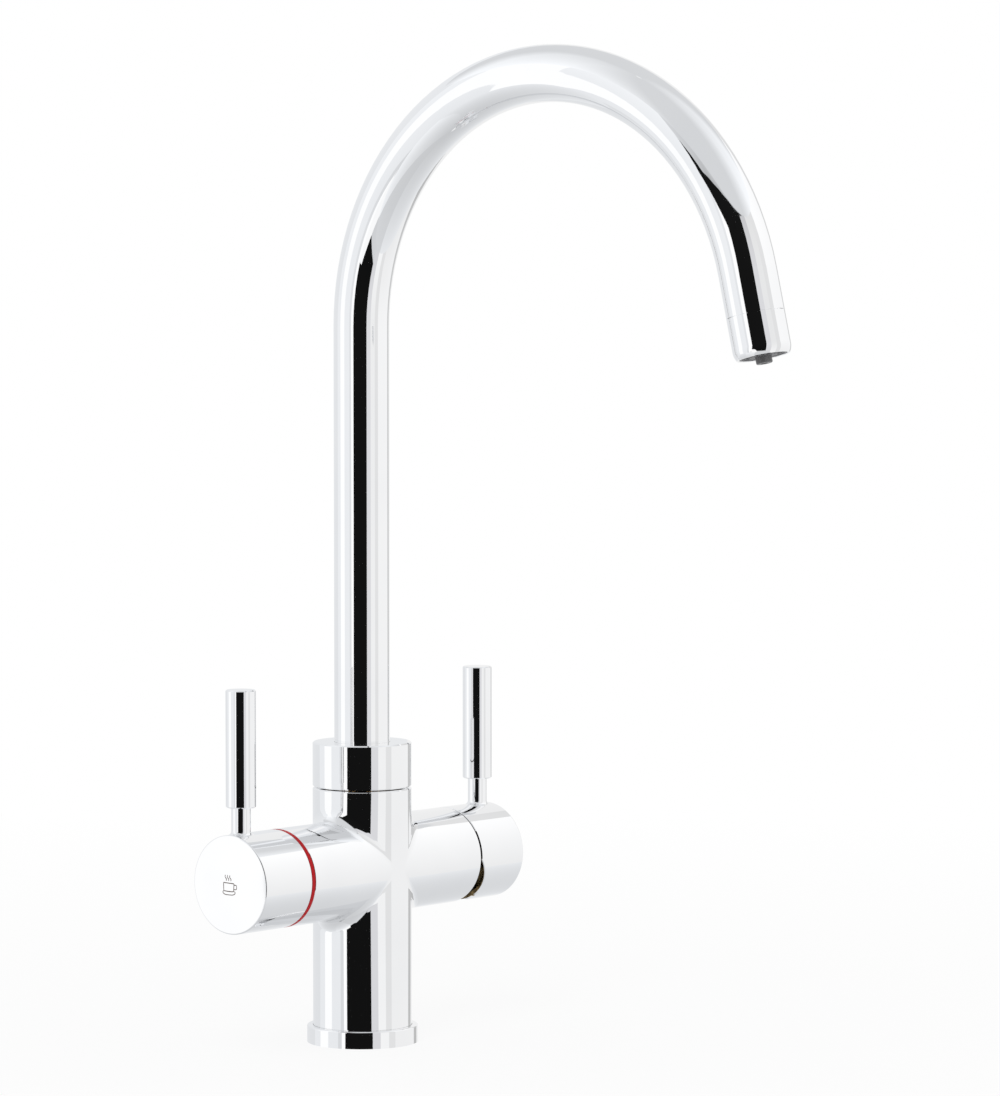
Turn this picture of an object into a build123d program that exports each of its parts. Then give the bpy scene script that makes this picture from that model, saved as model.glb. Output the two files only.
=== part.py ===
from build123d import *
import os
from math import cos, radians, sin

# Boiling water tap. Millimetres, +Z up, origin at the centre of the foot where it meets the worktop.
# The spout points to -Y, towards the user. The barrel lies along X: the boiling water handle is at
# -X and the mixer handle at +X.

# Column, barrel and base
column_d = 39.2
column_above_barrel = 12.5
barrel_step = 0.35
barrel_z = 69.6
arm_reach = 50.0
blend_radius = 5.5
foot_step = 2.1
foot_height = 2.0
base_ring_overhang = 2.4
base_ring_height = 6.8
base_ring_edge = 0.6
seal_groove_inset = 1.4
seal_groove_width = 1.8
seal_groove_depth = 1.2
body_edge = 0.5
arm_edge = 0.3

# Sockets in the foot: one for the clamping stud, three for the hose ends
stud_minor_d = 6.8
stud_depth = 14.0
hose_minor_d = 9.0
hose_depth = 12.0
hose_circle_d = 21.6
waterway_d = 5.0
port_d = 4.0

# Spout
tube_d = 22.0
tube_wall = 1.2
riser_length = 164.4
arc_radius = 97.4
arc_sweep = 166.6
end_run = 16.2
sleeve_length = 16.0
sleeve_taper_length = 3.5
sleeve_rim_inset = 1.0
sleeve_rim_face = 0.7
sleeve_wall = 2.1
sleeve_spigot_wall = 1.4
sleeve_spigot_length = 7.0
straightener_length = 6.5
straightener_slots = 20
slot_width = 1.1
slot_length = 2.9
slot_rim = 0.7
washer_thickness = 1.5
washer_width = 3.0
boiling_tip_d = 6.2
boiling_tip_bore = 2.8
boiling_tip_edge = 0.3
tip_nipple = 5.0
boiling_tip_reach = 2.5
hose_d = 6.0
hose_bore = 4.0
hose_end_gap = 6.0
hose_seat_depth = 6.0
hose_seal_width = 0.9

# Collar and spout bearing
collar_height = 17.65
collar_seam = 0.4
collar_wall = 4.5
collar_lid = 3.2
collar_edge = 0.5
socket_d = 26.0
bearing_recess = 1.0
spigot_d = 21.0
spigot_bore = 16.0
spigot_flange_gap = 0.3
spigot_flange_height = 3.2
spigot_cup_wall = 2.6
spigot_cup_gap = 1.2
bush_height = 3.6
bush_slit = 0.6
snap_ring_height = 1.0
snap_ring_groove = 0.9
snap_ring_gap = 4.0
snap_ring_play = 0.3
seal_land_height = 8.5
ring_seal_height = 2.2
ring_seal_depth = 1.8

# Handles
knob_length = 26.1
knob_wall = 2.35
knob_rim_wall = 0.9
knob_rim_depth = 6.5
knob_rim_edge = 0.25
knob_dome = 0.6
knob_edge = 0.5
boiling_seam = 0.1
mixer_seam = 0.5
stem_d = 7.6
stem_length = 10.35
stem_blend = 1.5
stem_margin = 1.0
stud_d = 5.0
stud_length = 8.0
grip_d = 11.8
grip_length = 45.5
grip_edge = 0.4
hub_d = 14.0
hub_length = 13.6
hub_floor = 4.6
knob_floor = 5.5
screw_inset = 5.0
screw_d = 5.0
screw_length = 7.0
screw_key_d = 2.5
screw_key_depth = 2.3
screw_boss_d = 9.0
cutter_margin = 1.0
red_ring_width = 1.7
red_ring_lip = 1.3
red_ring_lip_wall = 1.2

# Curve of the mixer handle's cut rim, measured from its seam and from the barrel axis
rim_mid_cut = 4.0
rim_mid_drop = 8.5
rim_full_cut = 5.6
rim_full_drop = 16.0

# Valves. Their lengths count inward from the ends of the arms
seat_port_seal = 1.6
port_seal_wall = 1.1
disc_thickness = 3.5
counterbore_d = 31.0
valve_flange = 2.0
boiling_body_length = 18.0
boiling_bore_d = 26.0
boiling_counterbore_depth = 10.3
boiling_cavity_d = 20.1
boiling_spindle_d = 9.0
boiling_driver = 3.4
boiling_neck_d = 17.0
boiling_neck_length = 7.0
boiling_port_drop = 6.5
boiling_nut_height = 7.0
key_width = 3.0
key_length = 12.0
key_depth = 1.2
spring_wire = 1.2
spring_turns = 3
spring_pitch = 1.9
spring_sleeve_wall = 1.8
mixer_body_length = 24.0
mixer_bore_d = 25.4
mixer_counterbore_depth = 10.0
mixer_cavity_d = 22.2
mixer_neck_d = 22.0
mixer_neck_length = 6.0
mixer_port_radius = 6.0
disc_play = 2.9
carrier_thickness = 6.8
foot_length = 10.5
foot_ball_d = 5.0
foot_neck_d = 3.6
foot_neck_length = 5.5
rotor_shaft_d = 18.7
rotor_stand_out = 1.5
rotor_shoulder_depth = 4.0
rotor_slot_height = 14.6
rotor_slot_play = 0.1
pivot_pin_d = 3.0
pivot_pin_inset = 0.75
mixer_spindle_d = 8.0
mixer_nut_reach = 1.5
nut_face_d = 29.2
nut_notches = 6
nut_notch_width = 3.0
nut_notch_depth = 2.0
shroud_thickness = 1.5
shroud_wall = 4.4

# Clearances
running = 0.05
seated = 0.1
ball_clearance = 0.06
joint_line = 0.15
edge_band = 0.01

column_r = column_d / 2
barrel_r = column_r - barrel_step
knob_r = barrel_r
foot_r = column_r - foot_step
base_ring_r = column_r + base_ring_overhang
seal_groove_r = base_ring_r - seal_groove_inset - seal_groove_width
tube_r = tube_d / 2
sleeve_bore_r = tube_r - sleeve_wall
socket_r = socket_d / 2
body_top = barrel_z + barrel_r + column_above_barrel
socket_depth = 2 * bush_height + seal_land_height + snap_ring_height + running + seated + bearing_recess
socket_floor = body_top - socket_depth
collar_bottom = body_top + collar_seam
collar_top = collar_bottom + collar_height
arc_centre_z = collar_top + riser_length
mixer_counterbore = arm_reach - mixer_counterbore_depth
mixer_seat = mixer_counterbore - mixer_body_length
boiling_arm = arm_reach - red_ring_width
boiling_counterbore = boiling_arm - boiling_counterbore_depth
boiling_seat = boiling_counterbore - boiling_body_length
boiling_neck_end = boiling_counterbore + boiling_neck_length
mixer_neck_end = mixer_counterbore + mixer_neck_length
rotor_end = mixer_neck_end + rotor_stand_out
pivot_out = mixer_counterbore
sliding_disc_r = mixer_cavity_d / 2 - disc_play
knob_reach = arm_reach + knob_length
cavity_end = knob_reach - knob_floor
hub_start = cavity_end - hub_length
spindle_end = cavity_end - hub_floor
screw_out = hub_start + screw_inset
lever_out = knob_reach - stem_margin - stem_blend - stem_d / 2
stem_top = barrel_z + knob_r + stem_length
bottom = (Align.CENTER, Align.CENTER, Align.MIN)


def rod(radius, start, end, x=0, y=0):
    """Cylinder about a vertical line, between two heights."""
    return Pos(x, y, start) * Cylinder(radius, end - start, align=bottom)


def turned(corners):
    """Solid turned about Z from (radius, height) corners."""
    return revolve(Plane.XZ * make_face(Polyline(*corners, close=True)), Axis.Z)


def ring(outer, inner, start, end):
    """Plain ring about Z."""
    return turned([(inner, start), (outer, start), (outer, end), (inner, end)])


def on_arm(shape, side):
    """Lays a piece made about Z along the barrel axis: its height becomes the distance outward."""
    return Pos(0, 0, barrel_z) * Rot(0, 90 * side, 0) * shape


def arm_rod(radius, start, end, side, rise=0, across=0):
    """Cylinder parallel to the barrel axis, above it by rise and behind it by across."""
    return on_arm(rod(radius, start, end, -side * rise, across), side)


def edges_at(shape, height):
    """Edges that lie wholly at one height."""
    return shape.edges().filter_by_position(Axis.Z, height - edge_band, height + edge_band)


def edges_out_at(shape, out):
    """Edges that lie wholly at one distance along the barrel."""
    return shape.edges().filter_by_position(Axis.X, out - edge_band, out + edge_band)


def save(shape, name):
    """Writes one node."""
    shape.label = name
    export_step(shape, f"parts/{name}.step")


# The body casting

def hose_places():
    """Centres of the three hose sockets: boiling under its arm, hot and cold under the mixer's."""
    radius = hose_circle_d / 2
    angles = {"boiling": 180, "hot": 60, "cold": -60}
    return {name: (radius * cos(radians(a)), radius * sin(radians(a))) for name, a in angles.items()}


def mixer_ports():
    """Ports in the mixer seat as (rise, across): cold, hot and the mixed outlet."""
    return [(0, -mixer_port_radius), (0, mixer_port_radius), (mixer_port_radius, 0)]


def boiling_ports():
    """Ports in the boiling seat: the inlet below the axis and the outlet on it."""
    return [(-boiling_port_drop, 0), (0, 0)]


def outer_casting():
    """Column crossed by the barrel, with blended corners."""
    column = rod(column_r, foot_height, body_top)
    barrel = arm_rod(barrel_r, 0, arm_reach, 1) + arm_rod(barrel_r, 0, boiling_arm, -1)
    cross = column + barrel
    corners = cross.edges().filter_by(GeomType.BSPLINE)
    blended = fillet(corners, blend_radius)
    blended = chamfer(edges_out_at(blended, arm_reach) + edges_out_at(blended, -boiling_arm), arm_edge)
    return chamfer(edges_at(blended, body_top), body_edge)


def water_channels():
    """Drilled ways from the hose sockets to the seats and from the seats to the spout socket."""
    places = hose_places()
    way = waterway_d / 2
    port = port_d / 2
    boiling_x, boiling_y = places["boiling"]
    hot_x, hot_y = places["hot"]
    cold_x, cold_y = places["cold"]
    inlet_z = barrel_z - boiling_port_drop
    mixed_x = spigot_bore / 2 - port
    mixed_z = barrel_z + mixer_port_radius
    channels = rod(way, hose_depth, inlet_z + port, boiling_x, boiling_y)
    channels += rod(way, hose_depth, barrel_z + port, hot_x, hot_y)
    channels += rod(way, hose_depth, barrel_z + port, cold_x, cold_y)
    channels += arm_rod(port, -boiling_x, boiling_seat, -1, -boiling_port_drop)
    channels += arm_rod(port, hot_x, mixer_seat, 1, 0, mixer_port_radius)
    channels += arm_rod(port, cold_x, mixer_seat, 1, 0, -mixer_port_radius)
    channels += arm_rod(port, mixed_x, mixer_seat, 1, mixer_port_radius)
    channels += rod(port, mixed_z - port, socket_floor, mixed_x)
    channels += arm_rod(port, 0, boiling_seat, -1)
    channels += rod(port, barrel_z, socket_floor)
    return channels


def hose_seat_floor():
    """Height of the small socket in which the inner hose's foot turns."""
    return socket_floor - hose_seat_depth


def tap_body():
    body = outer_casting() + rod(foot_r, 0, foot_height)
    body -= rod(stud_minor_d / 2, 0, stud_depth)
    for x, y in hose_places().values():
        body -= rod(hose_minor_d / 2, 0, hose_depth, x, y)
    body -= water_channels()
    body -= arm_rod(boiling_bore_d / 2, boiling_seat, boiling_arm, -1)
    body -= arm_rod(counterbore_d / 2, boiling_counterbore, boiling_arm, -1)
    body -= arm_rod(mixer_bore_d / 2, mixer_seat, arm_reach, 1)
    body -= arm_rod(counterbore_d / 2, mixer_counterbore, arm_reach, 1)
    body -= rod(socket_r, socket_floor, body_top)
    body -= rod(hose_d / 2 + running, hose_seat_floor(), socket_floor)
    groove_z = retaining_z()
    body -= rod(socket_r + snap_ring_groove, groove_z, groove_z + snap_ring_height)
    return body


def base_ring():
    """Chromed ring round the foot; its inner lip carries the column."""
    step = column_r + seated
    lip = foot_r + seated
    body = turned([(lip, 0), (base_ring_r, 0), (base_ring_r, base_ring_height),
                   (step, base_ring_height), (step, foot_height), (lip, foot_height)])
    rim = edges_at(body, base_ring_height).sort_by(SortBy.RADIUS)[-1]
    return fillet(rim, base_ring_edge) - base_seal()


def base_seal():
    return ring(seal_groove_r + seal_groove_width, seal_groove_r, 0, seal_groove_depth)


# The spout

def retaining_z():
    """Underside of the snap ring: just over the spigot's seal land."""
    return socket_floor + running + bush_height + seal_land_height + seated


def collar_lid_z():
    """Underside of the collar's lid."""
    return collar_top - collar_lid


def spout_collar():
    """Collar that covers the bearing and turns with the spout."""
    inner = column_r - collar_wall
    bore = tube_r + running
    lid = collar_lid_z()
    body = turned([(inner, collar_bottom), (column_r, collar_bottom), (column_r, collar_top),
                   (bore, collar_top), (bore, lid), (inner, lid)])
    rims = [edges_at(body, z).sort_by(SortBy.RADIUS)[-1] for z in (collar_bottom, collar_top)]
    return chamfer(rims, collar_edge)


def spout_spigot():
    """Brass spigot: bearing journals, a land for the seals, a flange and a cup for the tube."""
    journal = spigot_d / 2
    land = socket_r - running
    bore = spigot_bore / 2
    foot = socket_floor + running
    land_low = foot + bush_height
    land_high = land_low + seal_land_height
    flange = column_r - collar_wall - spigot_flange_gap
    flange_low = collar_bottom + seated
    flange_high = tube_foot()
    cup = tube_r + spigot_cup_wall
    top = collar_lid_z() - spigot_cup_gap
    body = turned([(bore, foot), (journal, foot), (journal, land_low), (land, land_low),
                   (land, land_high), (journal, land_high), (journal, flange_low),
                   (flange, flange_low), (flange, flange_high),
                   (cup, flange_high), (cup, top), (tube_r, top), (tube_r, flange_high),
                   (bore, flange_high)])
    for groove_z in seal_heights():
        body -= ring(land, land - ring_seal_depth, groove_z, groove_z + ring_seal_height)
    return body


def seal_heights():
    """Undersides of the two seal grooves, evenly spaced on the land."""
    land_low = socket_floor + running + bush_height
    gap = (seal_land_height - 2 * ring_seal_height) / 3
    return [land_low + gap, land_low + 2 * gap + ring_seal_height]


def spout_seals():
    land = socket_r - running
    seals = [ring(land, land - ring_seal_depth, z, z + ring_seal_height) for z in seal_heights()]
    return Compound(children=seals)


def bush(start, end):
    """Split bearing ring: it springs over the spigot's journal."""
    body = ring(socket_r, spigot_d / 2 + running, start, end)
    slit = Pos(0, socket_r, start) * Box(bush_slit, socket_r, end - start, align=bottom)
    return body - slit


def lower_bush():
    return bush(socket_floor, socket_floor + bush_height)


def upper_bush():
    start = retaining_z() + snap_ring_height
    return bush(start, start + bush_height)


def spout_retaining_ring():
    """Snap ring in the body's groove, over the spigot's land."""
    start = retaining_z()
    outer = socket_r + snap_ring_groove
    body = ring(outer, spigot_d / 2 + snap_ring_play, start, start + snap_ring_height)
    gap = Pos(0, -socket_r, start) * Box(snap_ring_gap, socket_r, snap_ring_height, align=bottom)
    return body - gap


def on_bend(turn):
    """Point of the spout's centre line after turning by that many degrees."""
    angle = radians(turn)
    return Vector(0, -arc_radius * (1 - cos(angle)), arc_centre_z + arc_radius * sin(angle))


def outflow():
    """Direction of the spout's end."""
    angle = radians(arc_sweep)
    return Vector(0, -sin(angle), cos(angle))


def centre_line(foot_z, past_bend):
    """Straight riser, one circular bend and a straight end."""
    start = Vector(0, 0, foot_z)
    bend_end = on_bend(arc_sweep)
    riser = Line(start, on_bend(0))
    bend = ThreePointArc(on_bend(0), on_bend(arc_sweep / 2), bend_end)
    tail = Line(bend_end, bend_end + outflow() * past_bend)
    return riser + bend + tail


def swept_tube(outer, inner, foot_z, past_bend):
    section = Plane((0, 0, foot_z)) * (Circle(outer) - Circle(inner))
    return sweep(section, path=centre_line(foot_z, past_bend))


def tube_foot():
    """Top of the spigot's flange, on which the tube stands."""
    return collar_bottom + seated + spigot_flange_height


def spout_tube():
    return swept_tube(tube_r, tube_r - tube_wall, tube_foot(), end_run)


def hose_past_bend():
    """Length of the inner hose after the bend: it stops inside the nozzle sleeve."""
    return end_run + sleeve_length - straightener_length - washer_thickness - hose_end_gap


def boiling_hose():
    return swept_tube(hose_d / 2, hose_bore / 2, hose_seat_floor() + running, hose_past_bend())


def hose_seal():
    """Ring in the floor of the spout socket, round the foot of the inner hose."""
    inner = hose_d / 2 + running
    return ring(inner + hose_seal_width, inner, socket_floor, socket_floor + ring_seal_height)


def at_nozzle(shape):
    """Places a piece made about Z at the spout's end: its height becomes the distance outward."""
    seam = on_bend(arc_sweep) + outflow() * end_run
    return Plane(seam, x_dir=(1, 0, 0), z_dir=outflow()) * shape


def nozzle_sleeve():
    """Sleeve with a rounded rim and a spigot that screws into the tube."""
    start = joint_line
    bend_start = sleeve_length - sleeve_taper_length
    rim = tube_r - sleeve_rim_inset
    spigot = tube_r - tube_wall - running
    spigot_bore_r = spigot - sleeve_spigot_wall
    outline = Polyline((rim, sleeve_length), (rim - sleeve_rim_face, sleeve_length),
                       (sleeve_bore_r, sleeve_length - washer_thickness), (sleeve_bore_r, start),
                       (spigot_bore_r, start), (spigot_bore_r, -sleeve_spigot_length),
                       (spigot, -sleeve_spigot_length), (spigot, start),
                       (tube_r, start), (tube_r, bend_start))
    outline += TangentArc((tube_r, bend_start), (rim, sleeve_length), tangent=(0, 1))
    return at_nozzle(revolve(Plane.XZ * make_face(outline), Axis.Z))


def straightener_start():
    return sleeve_length - joint_line - straightener_length


def flow_straightener():
    """Insert with a ring of slots for the mixed water and a hole for the boiling outlet."""
    start = straightener_start()
    body = ring(sleeve_bore_r, boiling_tip_d / 2, start, start + straightener_length)
    slot_centre = sleeve_bore_r - slot_rim - slot_length / 2
    slot = Pos(slot_centre, 0, start) * Box(slot_length, slot_width, straightener_length, align=bottom)
    for turn in range(straightener_slots):
        body -= Rot(0, 0, 360 * turn / straightener_slots) * slot
    return at_nozzle(body)


def straightener_washer():
    end = straightener_start()
    return at_nozzle(ring(sleeve_bore_r, sleeve_bore_r - washer_width, end - washer_thickness, end))


def boiling_tip():
    """Outlet tube with a nipple inside the end of the inner hose."""
    outer = boiling_tip_d / 2
    nipple = hose_bore / 2
    bore = boiling_tip_bore / 2
    start = hose_past_bend() - end_run
    end = sleeve_length + boiling_tip_reach
    low = start - tip_nipple
    body = turned([(bore, low), (nipple, low), (nipple, start), (outer, start), (outer, end), (bore, end)])
    tip_rim = edges_at(body, end).sort_by(SortBy.RADIUS)[-1]
    return at_nozzle(chamfer(tip_rim, boiling_tip_edge))


# The handles

def knob_blank(near, side):
    """Turned blank with a domed face and the stem standing on it, corners blended."""
    top = (0, knob_reach + knob_dome)
    outline = Polyline(top, (0, near), (knob_r, near), (knob_r, knob_reach))
    outline += TangentArc(top, (knob_r, knob_reach), tangent=(1, 0))
    blank = revolve(Plane.XZ * make_face(outline), Axis.Z)
    face_edge = edges_at(blank, knob_reach).sort_by(SortBy.RADIUS)[-1]
    blank = fillet(face_edge, knob_edge)
    blank = on_arm(chamfer(edges_at(blank, near), knob_rim_edge), side)
    stem_foot = barrel_z + knob_r - knob_wall
    joined = blank + rod(stem_d / 2, stem_foot, stem_top, side * lever_out)
    joined = fillet(joined.edges().filter_by(GeomType.BSPLINE), stem_blend)
    return joined + rod(stud_d / 2, stem_top, stem_top + stud_length, side * lever_out)


def knob(near, side):
    """Cup with a thin rim, a hub for the spindle and a screw boss between hub and wall."""
    body = knob_blank(near, side)
    cavity = knob_r - knob_wall
    body -= arm_rod(cavity, near, cavity_end, side)
    body -= arm_rod(knob_r - knob_rim_wall, near, near + knob_rim_depth, side)
    hub = arm_rod(hub_d / 2, hub_start, cavity_end, side)
    boss = rod(screw_boss_d / 2, barrel_z - cavity - knob_wall / 2, barrel_z, side * screw_out)
    body += hub + boss
    body -= arm_rod(mixer_spindle_d / 2 + running, hub_start, spindle_end + seated, side)
    return body - rod(screw_d / 2, barrel_z - knob_r, barrel_z, side * screw_out)


def boiling_handle_knob():
    return knob(boiling_arm + red_ring_width + boiling_seam, -1)


def mixer_handle_knob():
    """The lower rim is cut back on a curve, which lets the handle tip outward."""
    near = arm_reach + mixer_seam
    below = barrel_z - knob_r - cutter_margin
    behind = near - cutter_margin
    mid = (near + rim_mid_cut, barrel_z - rim_mid_drop)
    full = (near + rim_full_cut, barrel_z - rim_full_drop)
    outline = ThreePointArc((near, barrel_z), mid, full)
    outline += Polyline(full, (full[0], below), (behind, below), (behind, barrel_z), (near, barrel_z))
    cut = extrude(Plane.XZ * make_face(outline), knob_r + cutter_margin, both=True)
    return knob(near, 1) - cut


def grip(side):
    """Cylinder with a blind hole that screws on the stem's stud."""
    top = stem_top + grip_length
    body = rod(grip_d / 2, stem_top, top)
    body = chamfer(edges_at(body, top) + edges_at(body, stem_top), grip_edge)
    body -= rod(stud_d / 2, stem_top, stem_top + stud_length + seated)
    return Pos(side * lever_out, 0, 0) * body


def grub_screw(side):
    """Hollow-headed screw that bears on the spindle."""
    tip = barrel_z - mixer_spindle_d / 2 - running
    head = tip - screw_length
    key = extrude(Plane((0, 0, head)) * RegularPolygon(screw_key_d / 2, 6), screw_key_depth)
    body = rod(screw_d / 2, head, tip) - key
    return Pos(side * screw_out, 0, 0) * body


def red_ring():
    """Index ring with a lip that centres it in the arm."""
    lip = counterbore_d / 2 - seated
    inner = lip - red_ring_lip_wall
    start = boiling_arm - red_ring_lip
    end = boiling_arm + red_ring_width
    body = turned([(inner, start), (lip, start), (lip, boiling_arm), (barrel_r, boiling_arm),
                   (barrel_r, end), (inner, end)])
    return on_arm(body, -1)


# The valves

def port_seals(ports, seat, side):
    """Small rings round the ports, between seat and fixed disc."""
    seals = []
    for rise, across in ports:
        seal = ring(port_d / 2 + port_seal_wall, port_d / 2, seat, seat + seat_port_seal)
        seals.append(on_arm(Pos(-side * rise, across, 0) * seal, side))
    return Compound(children=seals)


def fixed_disc(radius, ports, seat, side):
    start = seat + seat_port_seal
    disc = arm_rod(radius, start, start + disc_thickness, side)
    for rise, across in ports:
        disc -= arm_rod(port_d / 2, start, start + disc_thickness, side, rise, across)
    return disc


def boiling_disc_level():
    """Where the boiling valve's two discs meet."""
    return boiling_seat + seat_port_seal + disc_thickness


def boiling_fixed_disc():
    return fixed_disc(boiling_cavity_d / 2 - running, boiling_ports(), boiling_seat, -1)


def boiling_turning_disc():
    """Disc with a recess that joins inlet and outlet after a quarter turn."""
    start = boiling_disc_level()
    disc = arm_rod(boiling_cavity_d / 2 - running, start, start + disc_thickness, -1)
    recess = Pos(0, boiling_port_drop / 2, start) * extrude(
        SlotCenterToCenter(boiling_port_drop, port_d, rotation=90), disc_thickness / 2)
    slot_z = start + disc_thickness - key_depth
    slot = Pos(0, 0, slot_z) * Box(key_length, key_width, key_depth, align=bottom)
    return disc - on_arm(recess, -1) - on_arm(slot, -1)


def boiling_driver_top():
    return boiling_disc_level() + disc_thickness + boiling_driver


def boiling_spindle():
    """Driver with a key for the disc, and a shaft that carries the handle."""
    low = boiling_disc_level() + disc_thickness
    high = boiling_driver_top()
    shaft = boiling_spindle_d / 2
    handle = mixer_spindle_d / 2
    step = boiling_neck_end + key_depth
    driver = boiling_cavity_d / 2 - running * 2
    body = turned([(0, low), (driver, low), (driver, high), (shaft, high), (shaft, step),
                   (handle, step), (handle, spindle_end), (0, spindle_end)])
    key = Pos(0, 0, low - key_depth) * Box(key_length - seated, key_width - seated, key_depth, align=bottom)
    return on_arm(body + key, -1)


def boiling_valve_housing():
    outer = boiling_bore_d / 2 - seated
    flange = counterbore_d / 2 - seated
    neck = boiling_neck_d / 2
    bore = boiling_spindle_d / 2 + running
    cavity = boiling_cavity_d / 2
    roof = boiling_driver_top() + running
    shoulder = boiling_counterbore
    top = shoulder + valve_flange
    body = turned([(cavity, boiling_seat), (outer, boiling_seat), (outer, shoulder), (flange, shoulder),
                   (flange, top), (neck, top), (neck, boiling_neck_end), (bore, boiling_neck_end),
                   (bore, roof), (cavity, roof)])
    return on_arm(body, -1)


def boiling_nut_base():
    return boiling_counterbore + valve_flange


def boiling_valve_nut():
    """Ring nut with a sleeve that carries the return spring."""
    start = boiling_nut_base()
    end = start + boiling_nut_height
    outer = counterbore_d / 2 - running
    inner = boiling_neck_d / 2 + seated
    sleeve_end = end + spring_pitch * (spring_turns + 1) - spring_wire
    sleeve = inner + spring_sleeve_wall
    return on_arm(turned([(inner, start), (outer, start), (outer, end), (sleeve, end),
                          (sleeve, sleeve_end), (inner, sleeve_end)]), -1)


def boiling_return_spring():
    """Coil round the nut's sleeve."""
    start = boiling_nut_base() + boiling_nut_height + spring_wire
    radius = boiling_neck_d / 2 + seated + spring_sleeve_wall + spring_wire
    path = Helix(spring_pitch, spring_pitch * spring_turns, radius, center=(0, 0, start))
    section = Plane(path @ 0, z_dir=path % 0) * Circle(spring_wire / 2)
    return on_arm(sweep(section, path=path), -1)


def mixer_disc_level():
    """Where the mixer's two discs meet."""
    return mixer_seat + seat_port_seal + disc_thickness


def mixer_fixed_disc():
    return fixed_disc(mixer_cavity_d / 2 - running, mixer_ports(), mixer_seat, 1)


def mixer_sliding_disc():
    """Disc with a recess that bridges the ports when it slides."""
    start = mixer_disc_level()
    disc = arm_rod(sliding_disc_r, start, start + disc_thickness, 1)
    return disc - arm_rod(port_d / 2, start, start + disc_thickness / 2, 1, -port_d / 2)


def carrier_level():
    return mixer_disc_level() + disc_thickness


def mixer_disc_carrier():
    """Carrier with a socket for the lever's ball foot."""
    start = carrier_level()
    end = start + carrier_thickness
    body = arm_rod(sliding_disc_r, start, end, 1)
    socket = foot_ball_d / 2 + ball_clearance
    return body - arm_rod(socket, pivot_out - foot_length - foot_ball_d / 2 - seated, end, 1)


def rotor_level():
    return carrier_level() + carrier_thickness + running


def rotor_shoulder():
    """Underside of the housing's neck, which keeps the rotor in."""
    return mixer_counterbore - rotor_shoulder_depth


def mixer_rotor():
    """Turns in the cartridge and holds the lever's pivot pin."""
    start = rotor_level()
    shoulder = rotor_shoulder()
    flange = mixer_cavity_d / 2 - running
    shaft = rotor_shaft_d / 2
    body = on_arm(turned([(0, start), (flange, start), (flange, shoulder), (shaft, shoulder),
                          (shaft, rotor_end), (0, rotor_end)]), 1)
    width = mixer_spindle_d + 2 * rotor_slot_play
    slot = Pos((start + rotor_end) / 2, 0, barrel_z) * Box(rotor_end - start, width, rotor_slot_height)
    return body - slot - pivot_rod(pivot_pin_d / 2)


def pivot_rod(radius):
    """Rod across the cartridge, through the lever's pivot."""
    length = rotor_shaft_d - 2 * pivot_pin_inset
    return Pos(pivot_out, 0, barrel_z) * Rot(90, 0, 0) * Cylinder(radius, length)


def mixer_pivot_pin():
    return pivot_rod(pivot_pin_d / 2)


def mixer_spindle():
    """Lever: ball foot, slim neck, and the shaft that carries the handle."""
    ball_out = pivot_out - foot_length
    ball = foot_ball_d / 2
    body = on_arm(Pos(0, 0, ball_out) * Sphere(ball), 1)
    neck_end = ball_out + foot_neck_length
    body += arm_rod(foot_neck_d / 2, ball_out, neck_end, 1)
    body += arm_rod(mixer_spindle_d / 2, neck_end, spindle_end, 1)
    return body - pivot_rod(pivot_pin_d / 2 + running)


def mixer_cartridge():
    outer = mixer_bore_d / 2 - seated
    flange = counterbore_d / 2 - seated
    neck = mixer_neck_d / 2
    bore = rotor_shaft_d / 2 + running
    cavity = mixer_cavity_d / 2
    roof = rotor_shoulder() + running
    shoulder = mixer_counterbore
    top = shoulder + valve_flange
    body = turned([(cavity, mixer_seat), (outer, mixer_seat), (outer, shoulder), (flange, shoulder),
                   (flange, top), (neck, top), (neck, mixer_neck_end), (bore, mixer_neck_end),
                   (bore, roof), (cavity, roof)])
    return on_arm(body, 1)


def mixer_nut_end():
    return arm_reach + mixer_nut_reach


def mixer_nut():
    """Brass ring nut; notches in its face take a pin spanner."""
    start = mixer_counterbore + valve_flange
    end = mixer_nut_end()
    thread = counterbore_d / 2 - running
    face = nut_face_d / 2
    inner = mixer_neck_d / 2 + seated
    step = arm_reach - joint_line
    body = turned([(inner, start), (thread, start), (thread, step), (face, step), (face, end), (inner, end)])
    notch = Box(face - inner, nut_notch_width, nut_notch_depth, align=bottom)
    notch = Pos(face, 0, end - nut_notch_depth) * notch
    for turn in range(nut_notches):
        body -= Rot(0, 0, 360 * turn / nut_notches) * notch
    return on_arm(body, 1)


def mixer_shroud():
    """Black ring on the nut's face."""
    start = mixer_nut_end()
    outer = nut_face_d / 2 - 2 * seated
    return on_arm(ring(outer, outer - shroud_wall, start, start + shroud_thickness), 1)


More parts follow.
